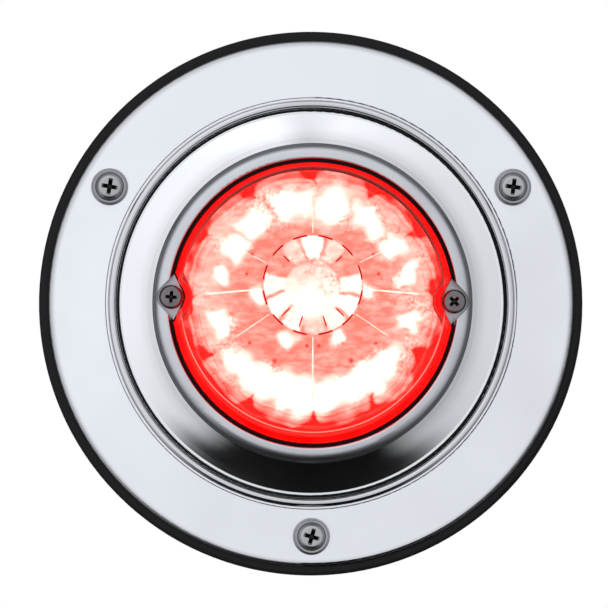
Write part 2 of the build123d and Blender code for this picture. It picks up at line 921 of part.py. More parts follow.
for place in mount_screw_angles:
    parts["mount_screw_" + place] = mount_screw_at(place)

os.makedirs("parts", exist_ok=True)
for node, made in parts.items():
    export_step(as_shape(made), "parts/" + node + ".step")
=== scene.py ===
from math import cos, pi, radians, sin

import bmesh
import bpy
import numpy as np
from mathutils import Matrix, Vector


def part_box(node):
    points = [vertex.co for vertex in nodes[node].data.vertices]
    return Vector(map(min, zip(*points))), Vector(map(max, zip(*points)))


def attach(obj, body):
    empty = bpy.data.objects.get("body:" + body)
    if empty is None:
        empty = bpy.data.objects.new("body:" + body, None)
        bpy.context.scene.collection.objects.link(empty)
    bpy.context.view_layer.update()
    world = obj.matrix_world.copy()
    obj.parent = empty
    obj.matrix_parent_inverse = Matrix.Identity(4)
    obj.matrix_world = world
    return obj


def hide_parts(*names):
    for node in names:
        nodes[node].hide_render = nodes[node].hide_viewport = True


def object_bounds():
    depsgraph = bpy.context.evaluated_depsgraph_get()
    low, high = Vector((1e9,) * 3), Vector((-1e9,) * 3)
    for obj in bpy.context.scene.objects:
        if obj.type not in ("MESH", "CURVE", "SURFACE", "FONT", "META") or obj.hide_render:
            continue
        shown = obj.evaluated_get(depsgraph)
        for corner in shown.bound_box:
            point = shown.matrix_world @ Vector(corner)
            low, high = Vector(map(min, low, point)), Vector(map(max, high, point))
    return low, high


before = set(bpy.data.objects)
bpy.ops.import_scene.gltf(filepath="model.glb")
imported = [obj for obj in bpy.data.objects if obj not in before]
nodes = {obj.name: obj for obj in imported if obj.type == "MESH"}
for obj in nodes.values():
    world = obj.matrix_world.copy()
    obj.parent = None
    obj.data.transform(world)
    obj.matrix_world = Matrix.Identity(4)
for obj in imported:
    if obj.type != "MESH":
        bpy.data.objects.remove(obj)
cad_low, cad_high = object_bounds()

# The light faces -Y, and "forward" means towards -Y.
# The frame is in metres, and mm turns millimetres into them.
mm = 0.001
pure_black = (0.0, 0.0, 0.0, 1.0)
pure_white = (1.0, 1.0, 1.0, 1.0)


# ---------------------------------------------------------------- node helpers
class Tree:
    """Short ways to add nodes to the tree of one material or world."""

    def __init__(self, owner):
        owner.use_nodes = True
        self.nodes = owner.node_tree.nodes
        self.links = owner.node_tree.links

    def node(self, kind, **settings):
        made = self.nodes.new(kind)
        for name, value in settings.items():
            setattr(made, name, value)
        return made

    def put(self, source, socket):
        """Set a socket from another socket or from a plain value."""
        if isinstance(source, bpy.types.NodeSocket):
            self.links.new(source, socket)
        else:
            socket.default_value = source

    def math(self, operation, first, second=0.0):
        made = self.node("ShaderNodeMath", operation=operation)
        self.put(first, made.inputs[0])
        self.put(second, made.inputs[1])
        return made.outputs[0]

    def product(self, first, *others):
        for other in others:
            first = self.math("MULTIPLY", first, other)
        return first

    def place(self):
        """Object coordinates: a piece's own place in the frame, in metres."""
        return self.node("ShaderNodeTexCoord").outputs["Object"]

    def split(self, vector):
        made = self.node("ShaderNodeSeparateXYZ")
        self.put(vector, made.inputs[0])
        return made.outputs

    def forward(self):
        """Distance in front of the mounting plane."""
        return self.math("MULTIPLY", self.split(self.place())[1], -1.0)

    def radius(self, across=0.0, up=0.0):
        """Distance from an axis parallel to Y."""
        x, _, z = self.split(self.place())
        x = self.math("SUBTRACT", x, across)
        z = self.math("SUBTRACT", z, up)
        return self.math("SQRT", self.math("ADD", self.product(x, x), self.product(z, z)))

    def noise(self, scale, detail=2.0, stretch=(1, 1, 1), roughness=0.5):
        mapping = self.node("ShaderNodeMapping")
        mapping.inputs["Scale"].default_value = stretch
        self.put(self.place(), mapping.inputs["Vector"])
        made = self.node("ShaderNodeTexNoise")
        made.inputs["Scale"].default_value = scale
        made.inputs["Detail"].default_value = detail
        made.inputs["Roughness"].default_value = roughness
        self.put(mapping.outputs[0], made.inputs["Vector"])
        return made.outputs["Fac"]

    def rings(self, radius, scale, detail=2.0):
        """Noise that changes with the radius alone."""
        made = self.node("ShaderNodeTexNoise", noise_dimensions="1D")
        made.inputs["Scale"].default_value = scale
        made.inputs["Detail"].default_value = detail
        self.put(radius, made.inputs["W"])
        return made.outputs["Fac"]

    def spread(self, value, low, high, to_low, to_high, smooth=False):
        """Carry the range low to high over to another range, and hold it at the ends."""
        made = self.node("ShaderNodeMapRange", clamp=True)
        if smooth:
            made.interpolation_type = "SMOOTHSTEP"
        for name, amount in zip(("From Min", "From Max", "To Min", "To Max"), (low, high, to_low, to_high)):
            made.inputs[name].default_value = amount
        self.put(value, made.inputs["Value"])
        return made.outputs[0]

    def vary(self, noise, low, high, reach=0.2):
        """Turn a noise, which mostly keeps within reach of a half, into values from low to high."""
        return self.spread(noise, 0.5 - reach, 0.5 + reach, low, high)

    def mix(self, share, first, second):
        made = self.node("ShaderNodeMix", data_type="RGBA")
        self.put(share, made.inputs["Factor"])
        self.put(first, made.inputs[6])
        self.put(second, made.inputs[7])
        return made.outputs[2]

    def bump(self, height, strength, distance, below=None):
        made = self.node("ShaderNodeBump")
        made.inputs["Strength"].default_value = strength
        made.inputs["Distance"].default_value = distance
        self.put(height, made.inputs["Height"])
        if below is not None:
            self.put(below, made.inputs["Normal"])
        return made.outputs[0]

    def slope(self, radius, fall, below=None):
        """A surface that falls away outwards by this much for each unit of radius."""
        return self.bump(self.product(radius, -fall), 1.0, 1.0, below)


def material(name, colour, roughness, **sockets):
    """New Principled material, its tree and its shader; sockets are set by name."""
    made = bpy.data.materials.new(name)
    tree = Tree(made)
    shader = tree.nodes["Principled BSDF"]
    tree.put((*colour, 1.0), shader.inputs["Base Color"])
    tree.put(roughness, shader.inputs["Roughness"])
    for socket, value in sockets.items():
        tree.put(value, shader.inputs[socket.replace("_", " ")])
    return made, tree, shader


def shade(tint, share):
    """A tint made darker or lighter, with its alpha."""
    return tuple(min(1.0, channel * share) for channel in tint[:3]) + (1.0,)


def dress(made, *names):
    """Give a material to CAD nodes or to pieces made here."""
    for name in names:
        piece = nodes[name] if isinstance(name, str) else name
        if not piece.material_slots:
            piece.data.materials.append(made)
        for slot in piece.material_slots:
            slot.link = "OBJECT"
            slot.material = made


def axis_of(name):
    """Where the axis of a round CAD node crosses the mounting plane."""
    low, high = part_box(name)
    return (low.x + high.x) / 2, (low.z + high.z) / 2


# ---------------------------------------------------------------- metals
# painted shade inside the screws' cross recesses
painted_recess_shade = (0.02, 0.02, 0.022, 1.0)
recess_share = 0.62  # a screw's recess, as a share of its head's radius
# painted shade at the flange's rolled rim: its width and colour
rim_shade_width = 2.2 * mm
painted_rim_shade = (0.22, 0.22, 0.23, 1.0)
flange_fall = 0.07
bezel_fall = 0.12
# painted shade in the bezel's screw pockets, at its outer edge and in the crevice round the lens
painted_pocket_shade = (0.16, 0.16, 0.17, 1.0)
painted_bezel_edge_shade = (0.10, 0.10, 0.105, 1.0)
painted_crevice_shade = (0.02, 0.02, 0.02, 1.0)


def brushed_metal(name, tint, roughness, ring_depth, anisotropy, fall=0.0, rim=0.0):
    """Stainless turned and brushed in rings round the light's axis, with painted shade towards a rolled rim.
    """
    made, tree, shader = material(name, tint, roughness, Metallic=1.0, Anisotropic=anisotropy)
    radius = tree.radius()
    broad = tree.noise(26, 3, stretch=(1, 0.2, 1))
    tree.put(tree.vary(broad, roughness - 0.04, roughness + 0.05), shader.inputs["Roughness"])
    below = tree.slope(radius, fall) if fall else None
    tree.put(tree.bump(tree.rings(radius, 2600, 3), 1.0, ring_depth, below), shader.inputs["Normal"])
    colour = tree.mix(broad, shade(tint, 1.0), shade(tint, 0.94))
    # painted shade, darker towards the rolled rim
    if rim:
        rim_shade = tree.spread(radius, rim - rim_shade_width, rim, 0.0, 0.8, smooth=True)
        colour = tree.mix(rim_shade, colour, painted_rim_shade)
    tree.put(colour, shader.inputs["Base Color"])
    tangent = tree.node("ShaderNodeTangent", direction_type="RADIAL", axis="Y")
    tree.put(tangent.outputs[0], shader.inputs["Tangent"])
    return made


def plain_metal(name, tint, roughness, screws=()):
    """Cast or machined metal with a fine even grain, and painted shade inside the recesses of these screws.
    """
    made, tree, shader = material(name, tint, roughness, Metallic=1.0)
    broad = tree.noise(60, 2)
    tree.put(tree.vary(broad, roughness - 0.05, roughness + 0.06), shader.inputs["Roughness"])
    colour = tree.mix(broad, shade(tint, 1.0), shade(tint, 0.88))
    if screws:
        # painted shade: the screws' cross recesses are darkened
        colour = tree.mix(in_recess(tree, screws), colour, painted_recess_shade)
    tree.put(colour, shader.inputs["Base Color"])
    tree.put(tree.bump(tree.noise(900, 3), 0.5, 0.01 * mm), shader.inputs["Normal"])
    return made


def in_recess(tree, screws):
    """1 inside the cross recesses of these screws, which have one head height, and 0 elsewhere."""
    head_front = -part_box(screws[0])[0].y
    forward = tree.forward()
    below_top = tree.spread(forward, head_front - 0.55 * mm, head_front - 0.25 * mm, 1.0, 0.0, smooth=True)
    above_shank = tree.spread(forward, head_front - 2.7 * mm, head_front - 2.4 * mm, 0.0, 1.0)
    near_axis = 0.0
    for name in screws:
        low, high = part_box(name)
        reach = recess_share * (high.x - low.x) / 2
        near = tree.spread(tree.radius(*axis_of(name)), reach, reach + 0.1 * mm, 1.0, 0.0)
        near_axis = tree.math("MAXIMUM", near, near_axis)
    return tree.product(below_top, above_shank, near_axis)


def bezel_metal():
    """Satin casting with painted shade round the lens, in the screw pockets and at its outer edge."""
    made = plain_metal("satin_casting", (0.60, 0.61, 0.64), 0.38)
    tree = Tree(made)
    shader = tree.nodes["Principled BSDF"]
    colour = shader.inputs["Base Color"].links[0].from_socket
    grain = shader.inputs["Normal"].links[0].from_socket
    radius = tree.radius()
    forward = tree.forward()
    lip = -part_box("lens_gasket")[0].y
    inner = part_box("lens_gasket")[1].z + 0.1 * mm
    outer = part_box("lens_bezel")[1].z
    # painted shade in the screw pockets, at the outer edge and in the crevice round the lens
    pocket_shade = tree.spread(forward, lip - 0.9 * mm, lip - 0.5 * mm, 0.45, 0.0)
    edge = tree.spread(radius, outer - 2.2 * mm, outer - 0.2 * mm, 0.0, 0.75, smooth=True)
    near_lens = tree.spread(radius, inner, inner + 0.4 * mm, 1.0, 0.0, smooth=True)
    crevice_shade = tree.product(near_lens, tree.spread(forward, lip - 0.9 * mm, lip - 0.5 * mm, 0.0, 1.0))
    colour = tree.mix(pocket_shade, colour, painted_pocket_shade)
    colour = tree.mix(edge, colour, painted_bezel_edge_shade)
    tree.put(tree.mix(crevice_shade, colour, painted_crevice_shade), shader.inputs["Base Color"])
    tree.put(tree.slope(radius, bezel_fall, grain), shader.inputs["Normal"])
    return made


# ---------------------------------------------------------------- rubber and plastic
def moulded(name, tint, roughness, **sockets):
    """Rubber or plastic with a fine moulded texture and slight shade changes."""
    made, tree, shader = material(name, tint, roughness, **sockets)
    broad = tree.noise(45, 3)
    tree.put(tree.vary(broad, roughness - 0.06, roughness + 0.08), shader.inputs["Roughness"])
    tree.put(tree.mix(broad, shade(tint, 1.0), shade(tint, 1.35)), shader.inputs["Base Color"])
    tree.put(tree.bump(tree.noise(1400, 2), 0.6, 0.02 * mm), shader.inputs["Normal"])
    return made


# ---------------------------------------------------------------- materials of the CAD nodes
flange_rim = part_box("flange")[1].z
flange_metal = brushed_metal(
    "brushed_stainless", (0.80, 0.81, 0.84), 0.30, 0.004 * mm, 0.6, fall=flange_fall, rim=flange_rim
)
dress(flange_metal, "flange")
dress(brushed_metal("rolled_stainless", (0.62, 0.62, 0.64), 0.14, 0.002 * mm, 0.2), "housing_can")
dress(brushed_metal("polished_stainless", (0.82, 0.83, 0.85), 0.12, 0.001 * mm, 0.2), "housing_cone")
dress(bezel_metal(), "lens_bezel")

mount_screws = sorted(name for name in nodes if name.startswith("mount_screw"))
lens_screws = sorted(name for name in nodes if name.startswith("lens_screw"))
dress(plain_metal("screw_steel", (0.44, 0.44, 0.45), 0.30, mount_screws), *mount_screws)
dress(plain_metal("dark_screw_steel", (0.17, 0.17, 0.175), 0.30, lens_screws), *lens_screws)

# name, tint, roughness and the nodes that wear it
plain_metals = (
    ("washer_steel", (0.34, 0.34, 0.36), 0.34, ("finishing_washers",)),
    ("zinc_plate", (0.62, 0.62, 0.58), 0.35, ("board_screws", "sink_screws", "support_posts", "rear_screws")),
    ("aluminium_plate", (0.66, 0.67, 0.68), 0.38, ("heat_sink", "inlet_rivets")),
    ("brass", (0.72, 0.53, 0.25), 0.28,
     ("screw_inserts", "driver_standoffs", "pin_tail", "pin_ground", "pin_stop")),
)
plastics = (
    ("black_plastic", (0.014, 0.014, 0.015), 0.42,
     ("plug_inlet", "board_link", "regulator", "diodes", "breather_vent")),
    ("white_board", (0.80, 0.80, 0.77), 0.45, ("led_board",)),
    ("green_board", (0.02, 0.16, 0.06), 0.35, ("driver_board",)),
    ("capacitor_sleeve", (0.02, 0.03, 0.08), 0.25, ("capacitor",)),
    ("ceramic_chip", (0.20, 0.19, 0.17), 0.5, ("resistors",)),
    ("wire_black", (0.02, 0.02, 0.02), 0.4, ("lead_tail",)),
    ("wire_white", (0.75, 0.75, 0.72), 0.4, ("lead_ground",)),
    ("wire_red", (0.5, 0.02, 0.02), 0.4, ("lead_stop",)),
)
for name, tint, roughness, wearers in plain_metals:
    dress(plain_metal(name, tint, roughness), *wearers)
for name, tint, roughness, wearers in plastics:
    dress(moulded(name, tint, roughness), *wearers)
gasket_rubber = moulded("gasket_rubber", (0.0055, 0.0055, 0.006), 0.5, Specular_IOR_Level=0.13)
dress(gasket_rubber, "base_gasket")
seal_rubber = moulded("seal_rubber", (0.003, 0.003, 0.0035), 0.55, Specular_IOR_Level=0.1)
dress(seal_rubber, "seam_seal", "seat_gasket", "lens_gasket", "inlet_seal")


# ---------------------------------------------------------------- mesh helpers
def smooth(low, high, value):
    """0 below low, 1 above high, with an even curve between."""
    share = np.clip((value - low) / (high - low), 0.0, 1.0)
    return share * share * (3 - 2 * share)


def hump(value, middle, half_width, power=2):
    """1 at the middle, fading to 0.37 at the half width."""
    return np.exp(-np.abs((value - middle) / half_width) ** power)


def front_of(name):
    """Forward distance of a CAD node's front, in millimetres."""
    return -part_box(name)[0].y / mm


def back_of(name):
    """Forward distance of a CAD node's back, in millimetres."""
    return -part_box(name)[1].y / mm


def points_of(mesh):
    """The mesh's points, one row each, in millimetres."""
    points = np.empty(len(mesh.vertices) * 3)
    mesh.vertices.foreach_get("co", points)
    return points.reshape(-1, 3) / mm


def tidy_piece(name, mesh, crease=35):
    """Object from a mesh: doubles welded, faces outward, smooth apart from creases."""
    shape = bmesh.new()
    shape.from_mesh(mesh)
    bmesh.ops.remove_doubles(shape, verts=shape.verts, dist=1e-7)
    bmesh.ops.recalc_face_normals(shape, faces=shape.faces)
    shape.to_mesh(mesh)
    shape.free()
    mesh.shade_smooth()
    mesh.set_sharp_from_angle(angle=radians(crease))
    piece = bpy.data.objects.new(name, mesh)
    bpy.context.scene.collection.objects.link(piece)
    return piece


def ring_solid(name, rings, closed_centre=False):
    """Solid whose skin passes through rings of points, each (steps, 3) in millimetres."""
    grid = np.array(rings) * mm
    count, steps = grid.shape[:2]
    index = np.arange(count * steps).reshape(count, steps)
    after = np.roll(index, -1, axis=1)
    following = np.roll(index, -1, axis=0)
    following_after = np.roll(after, -1, axis=0)
    last = count - 1 if closed_centre else count
    faces = np.stack([index, after, following_after, following], axis=-1)[:last].reshape(-1, 4)
    mesh = bpy.data.meshes.new(name)
    mesh.from_pydata(grid.reshape(-1, 3).tolist(), [], faces.tolist())
    return tidy_piece(name, mesh)


def strip_solid(name, rows):
    """Closed long solid whose section's corners run along the rows, in millimetres."""
    grid = np.array(rows) * mm
    sides, count = grid.shape[:2]
    index = np.arange(sides * count).reshape(sides, count)
    following = np.roll(index, -1, axis=0)
    skin = np.stack([index[:, :-1], index[:, 1:], following[:, 1:], following[:, :-1]], axis=-1)
    faces = skin.reshape(-1, 4).tolist() + [index[:, 0].tolist(), index[::-1, -1].tolist()]
    mesh = bpy.data.meshes.new(name)
    mesh.from_pydata(grid.reshape(-1, 3).tolist(), [], faces)
    return tidy_piece(name, mesh)


def outline_of(name, angles):
    """Outer radius of a CAD node's back face at each angle about the light's axis, in millimetres."""
    points = points_of(nodes[name].data)
    back = points[points[:, 1] > points[:, 1].max() - 0.01]
    reach = np.hypot(back[:, 0], back[:, 2])
    rim = back[reach > 0.75 * reach.max()]
    turn = np.arctan2(rim[:, 2], rim[:, 0]) % (2 * pi)
    order = np.argsort(turn)
    return np.interp(angles, turn[order], np.hypot(rim[:, 0], rim[:, 2])[order], period=2 * pi)


def join_pieces(name, parts):
    """One object from several small ones."""
    shape = bmesh.new()
    for part in parts:
        shape.from_mesh(part.data)
        bpy.data.objects.remove(part)
    mesh = bpy.data.meshes.new(name)
    shape.to_mesh(mesh)
    shape.free()
    return tidy_piece(name, mesh)


# ---------------------------------------------------------------- inner optic: petals
# Everything about the optics is in millimetres: x across, z up, both from the light's axis.
optic_back = back_of("petal_optic")
optic_front = front_of("petal_optic")
collimator_low, collimator_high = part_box("collimator")
collimator_up = (collimator_low.z + collimator_high.z) / 2 / mm
collimator_radius = (collimator_high.x - collimator_low.x) / 2 / mm
led_up = (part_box("centre_led")[0].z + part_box("centre_led")[1].z) / 2 / mm
led_circle = (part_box("ring_leds")[1].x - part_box("ring_leds")[0].x) / 2 / mm
petal_count = 12
petal_step = 2 * pi / petal_count
petal_tip = 38.0
petal_valley = 33.2
petal_ring_up = 1.6
petal_fan_lift = 2.0
optic_edge = 38.3
face_sink = 0.15
bowl_depth = 0.9
bowl_width = 7.0
ridge_drop = 0.35
land_drop = 1.5
notch_across = 40.8
notch_up = 1.0
notch_reach = 6.6

# Bright spots over the LEDs on the right-hand side, mirrored to the left:
# angle round the LED circle, half-length in degrees and half-depth
lit_spots = ((78, 12.0, 4.9), (54, 11.0, 3.8), (34, 8.0, 3.9), (15, 6.0, 3.0), (-14, 6.5, 3.3))
# Round bright patches beside and under the collimator: across, up, size and brightness
round_patches = ((collimator_radius + 1.6, led_up + 1.6, 2.4, 0.9), (7.4, -10.3, 2.2, 1.0))
# Small dark dots: across, up and size
dark_dots = (
    (17.5, 14.0, 0.55),
    (19.0, 8.4, 0.55),
    (1.7, -12.3, 0.55),
    (11.0, -16.6, 0.8),
    (18.2, -11.5, 0.55),
)


def petal_coordinates(x, z):
    """0 in the middle of a petal and 1 at its edges, which fan out from the collimator."""
    edge_angles = np.arange(petal_count) * petal_step
    edge_up = petal_fan_lift + optic_edge * np.sin(edge_angles) - collimator_up
    edges = np.sort(np.arctan2(edge_up, optic_edge * np.cos(edge_angles)) % (2 * pi))
    turn = np.arctan2(z - collimator_up, x) % (2 * pi)
    slot = np.searchsorted(edges, turn) - 1
    low = edges[slot % petal_count]
    width = (edges[(slot + 1) % petal_count] - low) % (2 * pi)
    return np.abs(2 * ((turn - low) % (2 * pi)) / width - 1)


def past_petals(x, z):
    """How far a point lies outside the scalloped ends of the petals."""
    side = petal_coordinates(x, z)
    scallop = np.clip(1 - side**2.4, 0, 1) ** 0.75
    return np.hypot(x, z - petal_ring_up) - petal_valley - (petal_tip - petal_valley) * scallop


def petal_height(x, z):
    """Forward height of the petals' faces: bowls with ridges between, and a lower land outside."""
    side = petal_coordinates(x, z)
    bowl = (1 - side**2) * hump(np.hypot(x, z - led_up), led_circle, bowl_width)
    ridge = smooth(0.90, 1.0, side)
    land = smooth(-0.3, 0.4, past_petals(x, z))
    inside = optic_front - face_sink - bowl_depth * bowl - ridge_drop * ridge
    return inside * (1 - land) + (optic_front - land_drop) * land


def led_spot(x, z, angle, along, deep):
    """Soft bright patch on the LED circle."""
    swing = (np.degrees(np.arctan2(z - led_up, x)) - angle + 180) % 360 - 180
    return hump(swing, 0, along, 4) * hump(np.hypot(x, z - led_up), led_circle - 0.5, deep, 3)


def round_spot(x, z, across, up, size):
    """Soft round patch, mirrored left and right."""
    return hump(np.hypot(np.abs(x) - across, z - up), 0, size, 3)


def stirred(x, z, size):
    """The same points moved a little to and fro, so that light patches get uneven edges."""
    across = np.sin(0.31 * z + 1.3 * np.cos(0.23 * x + 0.4)) + 0.6 * np.sin(0.83 * z + 0.57 * x + 2.0)
    up = np.cos(0.29 * x - 1.1 * np.sin(0.27 * z + 1.0)) + 0.6 * np.cos(0.91 * x - 0.49 * z + 0.5)
    return x + size * across, z + size * up


def petal_glow(x, z):
    """How white, how red and how dark the petals look when lit."""
    dots = [round_spot(x, z, *dot) for dot in dark_dots]
    x, z = stirred(x, z, 0.95)
    reach = np.hypot(x, z - led_up)
    downward = -np.sin(np.arctan2(z - led_up, x))
    spots = [led_spot(np.abs(x), z, *spot) for spot in lit_spots]
    patches = [bright * round_spot(x, z, across, up, size) for across, up, size, bright in round_patches]
    # the lowest LEDs merge into one wide band
    band_depth = 3.3 + 2.2 * np.abs(downward) ** 4
    band = smooth(0.40, 0.62, downward) * hump(reach, led_circle - 0.5, band_depth, 4)
    haze = 0.22 * hump(reach, led_circle + 2.0, 6.0)
    # red between the petals' ends, round the screw notches and, fainter, towards the rim
    between = smooth(-2.2, 0.8, past_petals(x, z))
    from_notch = np.hypot(np.abs(x) - notch_across, z - notch_up)
    between = np.maximum(between, smooth(notch_reach + 1.2, notch_reach - 0.6, from_notch))
    blush = 0.60 * smooth(31.0, petal_tip, np.hypot(x, z - petal_ring_up))
    white = np.clip(np.maximum.reduce([*spots, band, *patches, haze]), 0, 1) * (1 - between)
    return white, np.clip(np.maximum(between, blush), 0, 1), np.maximum.reduce(dots)


def paint(piece, glow):
    """Store (white, red, dark) shares on the mesh points from a function of x and z."""
    points = points_of(piece.data)
    shares = np.stack([*glow(points[:, 0], points[:, 2]), np.ones(len(points))], axis=1)
    layer = piece.data.color_attributes.new("glow", "FLOAT_COLOR", "POINT")
    layer.data.foreach_set("color", shares.astype(np.float32).ravel())


def disc_layers(inner, outer, rings, height, steps, up=0.0):
    """Rings of points over a face, from the inner to the outer radius, then round the back."""
    angles = np.arange(steps) * 2 * pi / steps
    layers = []
    for share in np.linspace(0, 1, rings):
        radius = inner + (outer - inner) * share
        x, z = radius * np.cos(angles), up + radius * np.sin(angles)
        layers.append(np.stack([x, -height(x, z), z], axis=1))
    for radius in (outer, inner):
        x, z = radius * np.cos(angles), up + radius * np.sin(angles)
        layers.append(np.stack([x, np.full_like(x, -optic_back), z], axis=1))
    return layers


def optic_petals():
    """Moulded inner optic: twelve scalloped bowls fanned out round the collimator."""
    steps = 720
    angles = np.arange(steps) * 2 * pi / steps
    # the inner edge is the collimator's circle, seen from the light's axis
    hole = collimator_radius + 0.1
    inner = collimator_up * np.sin(angles) + np.sqrt(hole**2 - (collimator_up * np.cos(angles)) ** 2)
    layers = disc_layers(inner, outline_of("petal_optic", angles), 96, petal_height, steps)
    piece = ring_solid("optic_petals", layers)
    paint(piece, petal_glow)
    return piece


# ---------------------------------------------------------------- inner optic: collimator
# How brightly each collimator window is lit, from the top one down to the bottom one on either side
window_light = (0.95, 0.34, 0.05, 0.72, 0.9, 0.66, 0.3)
window_step = 30
window_inner = 8.55
window_outer = 13.5
window_depth = 0.3
core_radius = 7.6
core_rise = 0.25
dome_rise = 1.1
hot_spot_radius = 5.8


def window_of(x, z):
    """Which of the twelve windows a point is in, and its share from the window's middle to its edge."""
    turn = np.degrees(np.arctan2(z - collimator_up, np.abs(x)))
    place = (90 - turn) / window_step
    number = np.rint(place).astype(int)
    return number, 2 * np.abs(place - number)


def collimator_height(x, z):
    """Low dome with a raised core and shallow windows round it."""
    reach = np.hypot(x, z - collimator_up)
    dome = optic_front + dome_rise * (1 - (reach / collimator_radius) ** 2)
    core = core_rise * smooth(core_radius + 0.3, core_radius - 0.3, reach)
    _, side = window_of(x, z)
    past_inner = smooth(window_inner - 0.25, window_inner + 0.25, reach)
    past_outer = smooth(window_outer + 0.3, window_outer - 0.3, reach)
    return dome + core - window_depth * past_inner * past_outer * smooth(0.9, 0.7, side)


def collimator_glow(x, z):
    """How white, how red and how dark the collimator looks when lit."""
    reach = np.hypot(x, z - collimator_up)
    x, z = stirred(x, z, 0.35)
    spot = hump(np.hypot(x + 0.3, z - led_up), 0, hot_spot_radius, 3)
    in_core = smooth(core_radius + 1.0, core_radius - 0.4, np.hypot(x, z - collimator_up + 0.9))
    core = in_core * (0.52 + 0.03 * (collimator_up - z))
    number, side = window_of(x, z)
    window = np.array(window_light)[number] * smooth(1.05, 0.55, side)
    window = window * smooth(14.6, 13.6, reach) * smooth(6.8, 8.6, reach)
    white = np.clip(np.maximum.reduce([spot, core, window]), 0, 1)
    return white, np.zeros_like(x), np.zeros_like(x)


def collimator_face():
    """Round centre optic, with its core, windows and low dome."""
    layers = disc_layers(0, collimator_radius, 60, collimator_height, 360, collimator_up)
    piece = ring_solid("collimator_face", layers, closed_centre=True)
    paint(piece, collimator_glow)
    return piece


# ---------------------------------------------------------------- inner optic: ribs and marks
# Edges between petals that carry a bright line, counted from the right, and the wider ones
shown_spokes = (0, 1, 3, 5, 6, 7, 9, 11)
strong_spokes = (0, 6, 9)
rib_height = 0.12
rim_mark_inset = 0.35
rim_mark_start = 6
rim_mark_length = 18
inner_mark_angles = (45, 135, 225, 252, 288, 315)
inner_mark_start = 9.3


def bar(line, half_width, height):
    """Thin raised rib along (x, forward, z) points, with a flat top and tapered ends."""
    points = np.array(line, dtype=float)
    along = np.gradient(points[:, [0, 2]], axis=0)
    along /= np.linalg.norm(along, axis=1)[:, None]
    across = np.stack([-along[:, 1], along[:, 0]], axis=1)
    steps = np.arange(len(points))
    taper = np.minimum(1.0, np.minimum(steps, steps[::-1]) / 1.5 + 0.35)
    rows = []
    for side, lift in ((-1, -0.15), (-0.6, height), (0.6, height), (1, -0.15)):
        offset = across * (side * half_width * taper)[:, None]
        row = [points[:, 0] + offset[:, 0], -(points[:, 1] + lift), points[:, 2] + offset[:, 1]]
        rows.append(np.stack(row, axis=1))
    return strip_solid("bar", rows)


def on_surface(line, height):
    """(x, forward, z) points on a surface from (x, z) points."""
    return np.stack([line[:, 0], height(line[:, 0], line[:, 1]), line[:, 1]], axis=1)


def spokes():
    """Bright moulded lines between the petals, from the collimator outwards."""
    hub = np.array([0.0, collimator_up])
    made = []
    for petal in shown_spokes:
        strong = petal in strong_spokes
        angle = petal * petal_step
        tip = np.array([optic_edge * cos(angle), petal_fan_lift + optic_edge * sin(angle)])
        span = np.linalg.norm(tip - hub)
        way = (tip - hub) / span
        start = hub + way * (collimator_radius + 0.4)
        end = hub + way * (span - (7.5 if strong else 13.5))
        shares = np.linspace(0, 1, 24)[:, None]
        line = start * (1 - shares) + end * shares
        made.append(bar(on_surface(line, petal_height), 0.38 if strong else 0.13, rib_height))
    return join_pieces("optic_spokes", made)


def collimator_marks():
    """Broken dark rim of the collimator and the short dark marks inside it."""
    made = []
    rim_radius = collimator_radius - rim_mark_inset
    # the rim marks lie flat, a little above the dome's edge
    level = collimator_height(np.array([0.0]), np.array([collimator_up + collimator_radius - 0.3]))[0]
    for petal in range(petal_count):
        start = petal * window_step + rim_mark_start
        angles = np.radians(np.linspace(start, start + rim_mark_length, 14))
        arc = [rim_radius * np.cos(angles), np.full(14, level), collimator_up + rim_radius * np.sin(angles)]
        made.append(bar(np.stack(arc, axis=1), 0.36, 0.1))
    for angle in inner_mark_angles:
        way = np.array([cos(radians(angle)), sin(radians(angle))])
        end = 12.0 if angle < 180 else 12.8
        line = np.array([0, collimator_up]) + np.linspace(inner_mark_start, end, 8)[:, None] * way
        made.append(bar(on_surface(line, collimator_height), 0.28, rib_height))
    return join_pieces("collimator_marks", made)


# ---------------------------------------------------------------- screw threads
thread_pitch = 1.27
thread_root = 2.08
thread_height = 0.276
thread_start = 1.2
thread_end_gap = 0.5
# Corners of the ridge's section: how far out (1 is the crest) and how far along, in pitches
thread_section = ((0, -0.46), (1, -0.10), (1, 0.10), (0, 0.46))


def screw_thread(name, screw):
    """Helical ridge round a mounting screw's shank, behind the mounting plane."""
    across, up = (value / mm for value in axis_of(screw))
    length = -back_of(screw) - thread_end_gap - thread_start
    turns = length / thread_pitch
    share = np.linspace(0, 1, int(turns * 28))
    angle = share * turns * 2 * pi
    # the ridge grows from nothing at both ends
    growth = np.clip(np.minimum(share, 1 - share) * turns * 1.5, 0.02, 1)
    rows = []
    for crest, offset in thread_section:
        radius = thread_root + (thread_height * growth if crest else -0.12)
        y = thread_start + share * length + offset * thread_pitch * growth
        rows.append(np.stack([across + radius * np.cos(angle), y, up + radius * np.sin(angle)], axis=1))
    return strip_solid(name, rows)


# ---------------------------------------------------------------- lit materials
lit_strength = 3.3
salmon = (0.36, 0.175, 0.155, 1.0)
lit_red = (0.36, 0.006, 0.004, 1.0)
lit_dark = (0.14, 0.001, 0.001, 1.0)
optic_tint = (0.85, 0.25, 0.22)
optic_red_tint = (0.30, 0.004, 0.004, 1.0)
lens_tint = (1.0, 0.36, 0.31)
lens_deep_tint = (0.9, 0.01, 0.008, 1.0)
rim_glow = ((1.0, 0.004, 0.003, 1.0), (0.78, 0.0, 0.0, 1.0))
# painted highlight: the thin pale line inside the lens rim
painted_rim_highlight = (1.0, 0.25, 0.2, 1.0)
rim_up = 0.9 * mm


